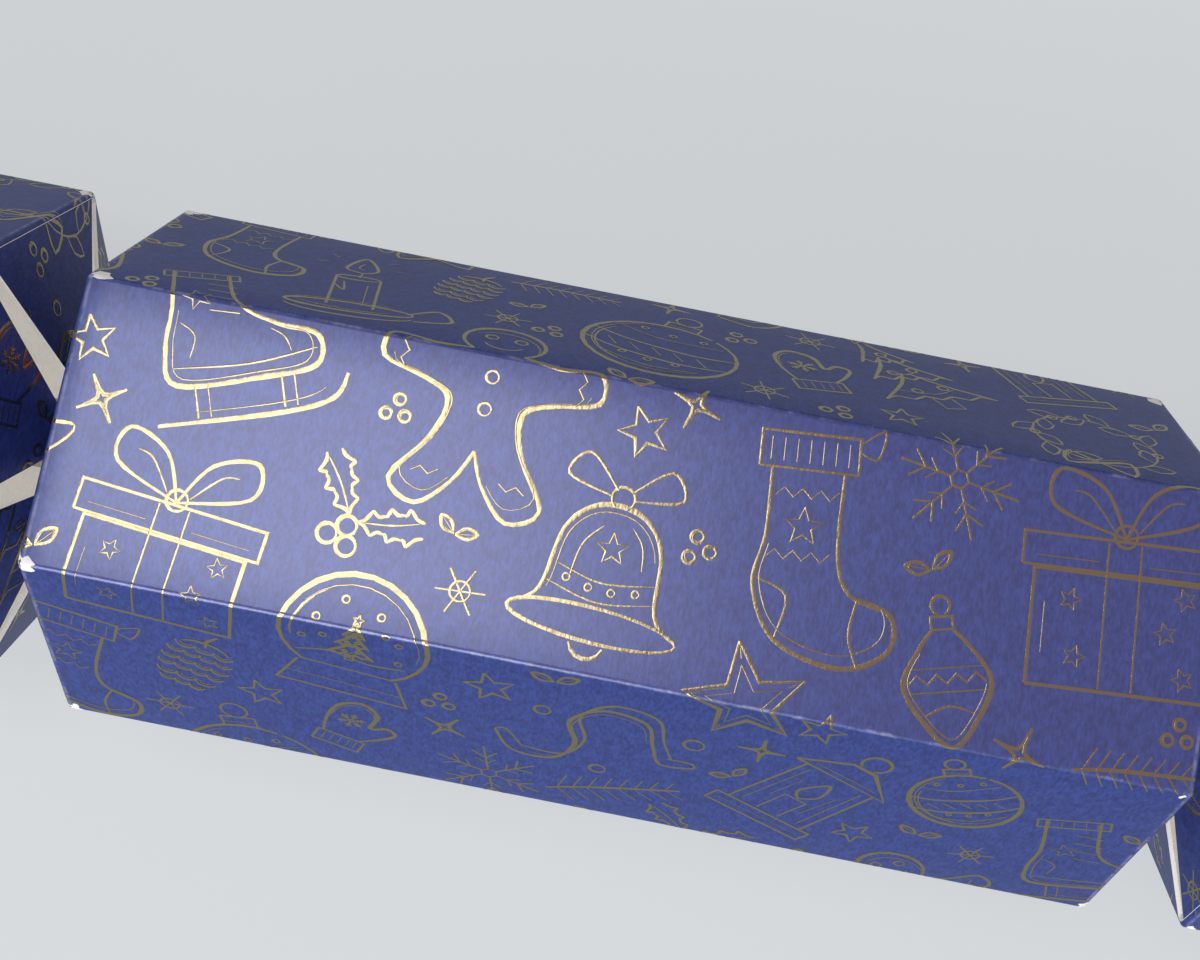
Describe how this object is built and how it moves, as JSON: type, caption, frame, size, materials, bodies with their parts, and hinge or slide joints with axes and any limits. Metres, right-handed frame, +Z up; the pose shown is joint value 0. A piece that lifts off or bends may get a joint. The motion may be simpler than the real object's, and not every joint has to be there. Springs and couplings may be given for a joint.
{
  "type": "christmas cracker",
  "caption": "Hexagonal folded-card christmas cracker: printed barrel and handles, die-cut folded necks, pull snap, and paper hat, motto and spinning top inside.",
  "frame": {"origin": "centre of the barrel's bottom panel, on the surface it rests on", "axes": "+X along the cracker, towards the handle that pulls off; +Y across it; +Z up, square to the bottom panel"},
  "size_m": [0.3056, 0.06, 0.052],
  "materials": {
    "printed_card": "satin",
    "snap_card": "matte",
    "friction_patch": "matte",
    "band_paper": "matte",
    "tissue_paper": "matte",
    "rubber_band": "matte",
    "motto_paper": "matte",
    "painted_wood": "gloss",
    "plain_wood": "satin"
  },
  "bodies": {
    "barrel": {"barrel": "printed_card", "paper_hat": "tissue_paper", "hat_rubber_band": "rubber_band", "motto_slip": "motto_paper", "spinning_top_body": "painted_wood", "spinning_top_stem": "plain_wood"},
    "left_handle": {"left_handle": "printed_card", "snap_strip_left": "snap_card", "snap_patch_left": "friction_patch", "snap_band": "band_paper"},
    "right_handle": {"right_handle": "printed_card", "snap_strip_right": "snap_card", "snap_patch_right": "friction_patch"},
    "left_barrel_flap_1": {"left_barrel_flap_1": "printed_card"},
    "left_barrel_flap_2": {"left_barrel_flap_2": "printed_card"},
    "left_barrel_flap_3": {"left_barrel_flap_3": "printed_card"},
    "left_barrel_flap_4": {"left_barrel_flap_4": "printed_card"},
    "left_barrel_flap_5": {"left_barrel_flap_5": "printed_card"},
    "left_barrel_flap_6": {"left_barrel_flap_6": "printed_card"},
    "left_handle_flap_1": {"left_handle_flap_1": "printed_card"},
    "left_handle_flap_2": {"left_handle_flap_2": "printed_card"},
    "left_handle_flap_3": {"left_handle_flap_3": "printed_card"},
    "left_handle_flap_4": {"left_handle_flap_4": "printed_card"},
    "left_handle_flap_5": {"left_handle_flap_5": "printed_card"},
    "left_handle_flap_6": {"left_handle_flap_6": "printed_card"},
    "right_barrel_flap_1": {"right_barrel_flap_1": "printed_card"},
    "right_barrel_flap_2": {"right_barrel_flap_2": "printed_card"},
    "right_barrel_flap_3": {"right_barrel_flap_3": "printed_card"},
    "right_barrel_flap_4": {"right_barrel_flap_4": "printed_card"},
    "right_barrel_flap_5": {"right_barrel_flap_5": "printed_card"},
    "right_barrel_flap_6": {"right_barrel_flap_6": "printed_card"},
    "right_handle_flap_1": {"right_handle_flap_1": "printed_card"},
    "right_handle_flap_2": {"right_handle_flap_2": "printed_card"},
    "right_handle_flap_3": {"right_handle_flap_3": "printed_card"},
    "right_handle_flap_4": {"right_handle_flap_4": "printed_card"},
    "right_handle_flap_5": {"right_handle_flap_5": "printed_card"},
    "right_handle_flap_6": {"right_handle_flap_6": "printed_card"}
  },
  "joints": [
    {"name": "left_neck_fold", "type": "hinge", "parent": "left_handle_flap_1", "child": "left_handle", "pos_m": [-0.07075, 0, 0.05146], "axis": [0, 1, 0], "range_deg": [0, 72.13]},
    {"name": "left_barrel_crease_1", "type": "hinge", "parent": "barrel", "child": "left_barrel_flap_1", "pos_m": [-0.05875, 0, 0.05146], "axis": [0, 1, 0], "range_deg": [0, 72.13]},
    {"name": "left_waist_crease_1", "type": "hinge", "parent": "left_barrel_flap_1", "child": "left_handle_flap_1", "pos_m": [-0.06475, 0, 0.03448], "axis": [0, -1, 0], "range_deg": [0, 144.26]},
    {"name": "left_barrel_crease_2", "type": "hinge", "parent": "barrel", "child": "left_barrel_flap_2", "pos_m": [-0.05875, -0.02207, 0.03872], "axis": [0, 0.5, 0.866], "range_deg": [0, 72.13]},
    {"name": "left_waist_crease_2", "type": "hinge", "parent": "left_barrel_flap_2", "child": "left_handle_flap_2", "pos_m": [-0.06475, -0.00736, 0.03023], "axis": [0, -0.5, -0.866], "range_deg": [0, 144.26]},
    {"name": "left_barrel_crease_3", "type": "hinge", "parent": "barrel", "child": "left_barrel_flap_3", "pos_m": [-0.05875, -0.02207, 0.01324], "axis": [0, -0.5, 0.866], "range_deg": [0, 72.13]},
    {"name": "left_waist_crease_3", "type": "hinge", "parent": "left_barrel_flap_3", "child": "left_handle_flap_3", "pos_m": [-0.06475, -0.00736, 0.02173], "axis": [0, 0.5, -0.866], "range_deg": [0, 144.26]},
    {"name": "left_barrel_crease_4", "type": "hinge", "parent": "barrel", "child": "left_barrel_flap_4", "pos_m": [-0.05875, 0, 0.0005], "axis": [0, -1, 0], "range_deg": [0, 72.13]},
    {"name": "left_waist_crease_4", "type": "hinge", "parent": "left_barrel_flap_4", "child": "left_handle_flap_4", "pos_m": [-0.06475, 0, 0.01748], "axis": [0, 1, 0], "range_deg": [0, 144.26]},
    {"name": "left_barrel_crease_5", "type": "hinge", "parent": "barrel", "child": "left_barrel_flap_5", "pos_m": [-0.05875, 0.02207, 0.01324], "axis": [0, -0.5, -0.866], "range_deg": [0, 72.13]},
    {"name": "left_waist_crease_5", "type": "hinge", "parent": "left_barrel_flap_5", "child": "left_handle_flap_5", "pos_m": [-0.06475, 0.00736, 0.02173], "axis": [0, 0.5, 0.866], "range_deg": [0, 144.26]},
    {"name": "left_barrel_crease_6", "type": "hinge", "parent": "barrel", "child": "left_barrel_flap_6", "pos_m": [-0.05875, 0.02207, 0.03872], "axis": [0, 0.5, -0.866], "range_deg": [0, 72.13]},
    {"name": "left_waist_crease_6", "type": "hinge", "parent": "left_barrel_flap_6", "child": "left_handle_flap_6", "pos_m": [-0.06475, 0.00736, 0.03023], "axis": [0, -0.5, 0.866], "range_deg": [0, 144.26]},
    {"name": "right_pull", "type": "slide", "parent": "barrel", "child": "right_handle", "axis": [1, 0, 0], "range_m": [0, 0.12]},
    {"name": "right_barrel_crease_1", "type": "hinge", "parent": "barrel", "child": "right_barrel_flap_1", "pos_m": [0.05875, 0, 0.05146], "axis": [0, -1, 0], "range_deg": [0, 72.13]},
    {"name": "right_handle_crease_1", "type": "hinge", "parent": "right_handle", "child": "right_handle_flap_1", "pos_m": [0.07075, 0, 0.05146], "axis": [0, 1, 0], "range_deg": [0, 72.13]},
    {"name": "right_barrel_crease_2", "type": "hinge", "parent": "barrel", "child": "right_barrel_flap_2", "pos_m": [0.05875, -0.02207, 0.03872], "axis": [0, -0.5, -0.866], "range_deg": [0, 72.13]},
    {"name": "right_handle_crease_2", "type": "hinge", "parent": "right_handle", "child": "right_handle_flap_2", "pos_m": [0.07075, -0.02207, 0.03872], "axis": [0, 0.5, 0.866], "range_deg": [0, 72.13]},
    {"name": "right_barrel_crease_3", "type": "hinge", "parent": "barrel", "child": "right_barrel_flap_3", "pos_m": [0.05875, -0.02207, 0.01324], "axis": [0, 0.5, -0.866], "range_deg": [0, 72.13]},
    {"name": "right_handle_crease_3", "type": "hinge", "parent": "right_handle", "child": "right_handle_flap_3", "pos_m": [0.07075, -0.02207, 0.01324], "axis": [0, -0.5, 0.866], "range_deg": [0, 72.13]},
    {"name": "right_barrel_crease_4", "type": "hinge", "parent": "barrel", "child": "right_barrel_flap_4", "pos_m": [0.05875, 0, 0.0005], "axis": [0, 1, 0], "range_deg": [0, 72.13]},
    {"name": "right_handle_crease_4", "type": "hinge", "parent": "right_handle", "child": "right_handle_flap_4", "pos_m": [0.07075, 0, 0.0005], "axis": [0, -1, 0], "range_deg": [0, 72.13]},
    {"name": "right_barrel_crease_5", "type": "hinge", "parent": "barrel", "child": "right_barrel_flap_5", "pos_m": [0.05875, 0.02207, 0.01324], "axis": [0, 0.5, 0.866], "range_deg": [0, 72.13]},
    {"name": "right_handle_crease_5", "type": "hinge", "parent": "right_handle", "child": "right_handle_flap_5", "pos_m": [0.07075, 0.02207, 0.01324], "axis": [0, -0.5, -0.866], "range_deg": [0, 72.13]},
    {"name": "right_barrel_crease_6", "type": "hinge", "parent": "barrel", "child": "right_barrel_flap_6", "pos_m": [0.05875, 0.02207, 0.03872], "axis": [0, -0.5, 0.866], "range_deg": [0, 72.13]},
    {"name": "right_handle_crease_6", "type": "hinge", "parent": "right_handle", "child": "right_handle_flap_6", "pos_m": [0.07075, 0.02207, 0.03872], "axis": [0, 0.5, -0.866], "range_deg": [0, 72.13]}
  ],
  "couplings": [
    {"joint": "left_barrel_crease_1", "follows": "left_neck_fold", "ratio": 1},
    {"joint": "left_waist_crease_1", "follows": "left_neck_fold", "ratio": 2},
    {"joint": "left_barrel_crease_2", "follows": "left_neck_fold", "ratio": 1},
    {"joint": "left_waist_crease_2", "follows": "left_neck_fold", "ratio": 2},
    {"joint": "left_barrel_crease_3", "follows": "left_neck_fold", "ratio": 1},
    {"joint": "left_waist_crease_3", "follows": "left_neck_fold", "ratio": 2},
    {"joint": "left_barrel_crease_4", "follows": "left_neck_fold", "ratio": 1},
    {"joint": "left_waist_crease_4", "follows": "left_neck_fold", "ratio": 2},
    {"joint": "left_barrel_crease_5", "follows": "left_neck_fold", "ratio": 1},
    {"joint": "left_waist_crease_5", "follows": "left_neck_fold", "ratio": 2},
    {"joint": "left_barrel_crease_6", "follows": "left_neck_fold", "ratio": 1},
    {"joint": "left_waist_crease_6", "follows": "left_neck_fold", "ratio": 2},
    {"joint": "right_barrel_crease_1", "follows": "right_pull", "rad_per_m": 10.491},
    {"joint": "right_handle_crease_1", "follows": "right_pull", "rad_per_m": 10.491},
    {"joint": "right_barrel_crease_2", "follows": "right_pull", "rad_per_m": 10.491},
    {"joint": "right_handle_crease_2", "follows": "right_pull", "rad_per_m": 10.491},
    {"joint": "right_barrel_crease_3", "follows": "right_pull", "rad_per_m": 10.491},
    {"joint": "right_handle_crease_3", "follows": "right_pull", "rad_per_m": 10.491},
    {"joint": "right_barrel_crease_4", "follows": "right_pull", "rad_per_m": 10.491},
    {"joint": "right_handle_crease_4", "follows": "right_pull", "rad_per_m": 10.491},
    {"joint": "right_barrel_crease_5", "follows": "right_pull", "rad_per_m": 10.491},
    {"joint": "right_handle_crease_5", "follows": "right_pull", "rad_per_m": 10.491},
    {"joint": "right_barrel_crease_6", "follows": "right_pull", "rad_per_m": 10.491},
    {"joint": "right_handle_crease_6", "follows": "right_pull", "rad_per_m": 10.491}
  ]
}
